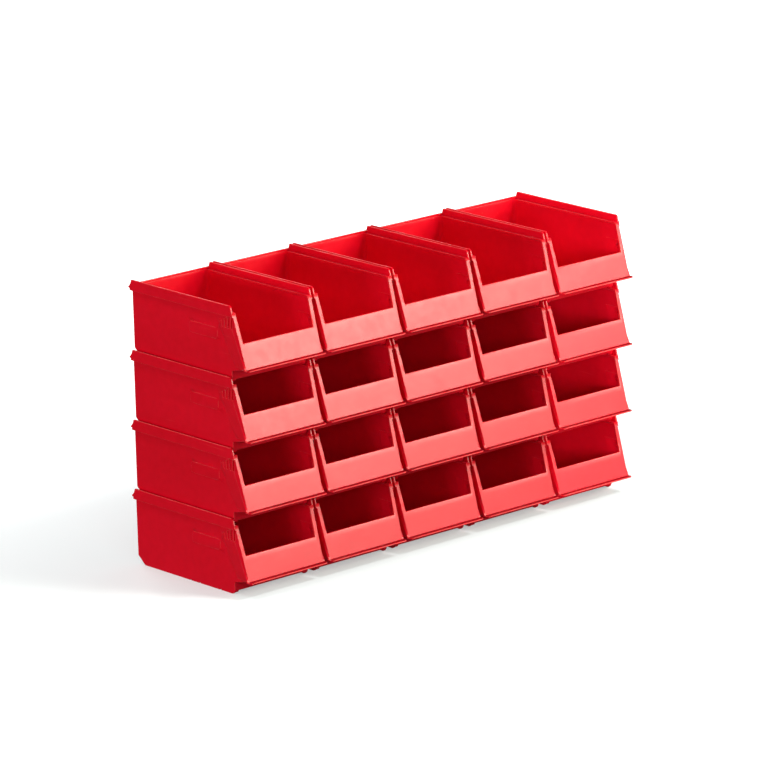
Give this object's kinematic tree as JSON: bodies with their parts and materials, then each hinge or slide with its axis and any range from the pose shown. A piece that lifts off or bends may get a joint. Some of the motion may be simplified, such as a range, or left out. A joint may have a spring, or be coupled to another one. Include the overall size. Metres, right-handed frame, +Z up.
{
  "type": "stack of open-fronted storage bins",
  "caption": "Stackable open-fronted storage bins in moulded plastic, each resting on the ledge of the one below, with side rails, label panel and rear hanging lip.",
  "frame": {"origin": "on the table, under the middle of the stack's box", "axes": "+X to the right along the front of the stack, +Y from the open fronts to the back, +Z up"},
  "size_m": [0.522, 0.1714, 0.2853],
  "materials": {
    "moulded_plastic": "satin injection-moulded polypropylene, red"
  },
  "bodies": {
    "bin_tier1_column1": {"bin_tier1_column1": "moulded_plastic"},
    "bin_tier1_column2": {"bin_tier1_column2": "moulded_plastic"},
    "bin_tier1_column3": {"bin_tier1_column3": "moulded_plastic"},
    "bin_tier1_column4": {"bin_tier1_column4": "moulded_plastic"},
    "bin_tier1_column5": {"bin_tier1_column5": "moulded_plastic"},
    "bin_tier2_column1": {"bin_tier2_column1": "moulded_plastic"},
    "bin_tier2_column2": {"bin_tier2_column2": "moulded_plastic"},
    "bin_tier2_column3": {"bin_tier2_column3": "moulded_plastic"},
    "bin_tier2_column4": {"bin_tier2_column4": "moulded_plastic"},
    "bin_tier2_column5": {"bin_tier2_column5": "moulded_plastic"},
    "bin_tier3_column1": {"bin_tier3_column1": "moulded_plastic"},
    "bin_tier3_column2": {"bin_tier3_column2": "moulded_plastic"},
    "bin_tier3_column3": {"bin_tier3_column3": "moulded_plastic"},
    "bin_tier3_column4": {"bin_tier3_column4": "moulded_plastic"},
    "bin_tier3_column5": {"bin_tier3_column5": "moulded_plastic"},
    "bin_tier4_column1": {"bin_tier4_column1": "moulded_plastic"},
    "bin_tier4_column2": {"bin_tier4_column2": "moulded_plastic"},
    "bin_tier4_column3": {"bin_tier4_column3": "moulded_plastic"},
    "bin_tier4_column4": {"bin_tier4_column4": "moulded_plastic"},
    "bin_tier4_column5": {"bin_tier4_column5": "moulded_plastic"}
  },
  "joints": [
    {"name": "column1_pull_forward", "type": "slide", "parent": "bin_tier1_column3", "child": "bin_tier1_column1", "axis": [0, -1, 0], "range_m": [0, 0.17]},
    {"name": "column2_pull_forward", "type": "slide", "parent": "bin_tier1_column3", "child": "bin_tier1_column2", "axis": [0, -1, 0], "range_m": [0, 0.17]},
    {"name": "column4_pull_forward", "type": "slide", "parent": "bin_tier1_column3", "child": "bin_tier1_column4", "axis": [0, -1, 0], "range_m": [0, 0.17]},
    {"name": "column5_pull_forward", "type": "slide", "parent": "bin_tier1_column3", "child": "bin_tier1_column5", "axis": [0, -1, 0], "range_m": [0, 0.17]},
    {"name": "tier2_column1_lift", "type": "slide", "parent": "bin_tier1_column1", "child": "bin_tier2_column1", "axis": [0, 0, 1], "range_m": [0, 0.08]},
    {"name": "tier2_column2_lift", "type": "slide", "parent": "bin_tier1_column2", "child": "bin_tier2_column2", "axis": [0, 0, 1], "range_m": [0, 0.08]},
    {"name": "tier2_column3_lift", "type": "slide", "parent": "bin_tier1_column3", "child": "bin_tier2_column3", "axis": [0, 0, 1], "range_m": [0, 0.08]},
    {"name": "tier2_column4_lift", "type": "slide", "parent": "bin_tier1_column4", "child": "bin_tier2_column4", "axis": [0, 0, 1], "range_m": [0, 0.08]},
    {"name": "tier2_column5_lift", "type": "slide", "parent": "bin_tier1_column5", "child": "bin_tier2_column5", "axis": [0, 0, 1], "range_m": [0, 0.08]},
    {"name": "tier3_column1_lift", "type": "slide", "parent": "bin_tier2_column1", "child": "bin_tier3_column1", "axis": [0, 0, 1], "range_m": [0, 0.08]},
    {"name": "tier3_column2_lift", "type": "slide", "parent": "bin_tier2_column2", "child": "bin_tier3_column2", "axis": [0, 0, 1], "range_m": [0, 0.08]},
    {"name": "tier3_column3_lift", "type": "slide", "parent": "bin_tier2_column3", "child": "bin_tier3_column3", "axis": [0, 0, 1], "range_m": [0, 0.08]},
    {"name": "tier3_column4_lift", "type": "slide", "parent": "bin_tier2_column4", "child": "bin_tier3_column4", "axis": [0, 0, 1], "range_m": [0, 0.08]},
    {"name": "tier3_column5_lift", "type": "slide", "parent": "bin_tier2_column5", "child": "bin_tier3_column5", "axis": [0, 0, 1], "range_m": [0, 0.08]},
    {"name": "tier4_column1_lift", "type": "slide", "parent": "bin_tier3_column1", "child": "bin_tier4_column1", "axis": [0, 0, 1], "range_m": [0, 0.08]},
    {"name": "tier4_column2_lift", "type": "slide", "parent": "bin_tier3_column2", "child": "bin_tier4_column2", "axis": [0, 0, 1], "range_m": [0, 0.08]},
    {"name": "tier4_column3_lift", "type": "slide", "parent": "bin_tier3_column3", "child": "bin_tier4_column3", "axis": [0, 0, 1], "range_m": [0, 0.08]},
    {"name": "tier4_column4_lift", "type": "slide", "parent": "bin_tier3_column4", "child": "bin_tier4_column4", "axis": [0, 0, 1], "range_m": [0, 0.08]},
    {"name": "tier4_column5_lift", "type": "slide", "parent": "bin_tier3_column5", "child": "bin_tier4_column5", "axis": [0, 0, 1], "range_m": [0, 0.08]}
  ]
}
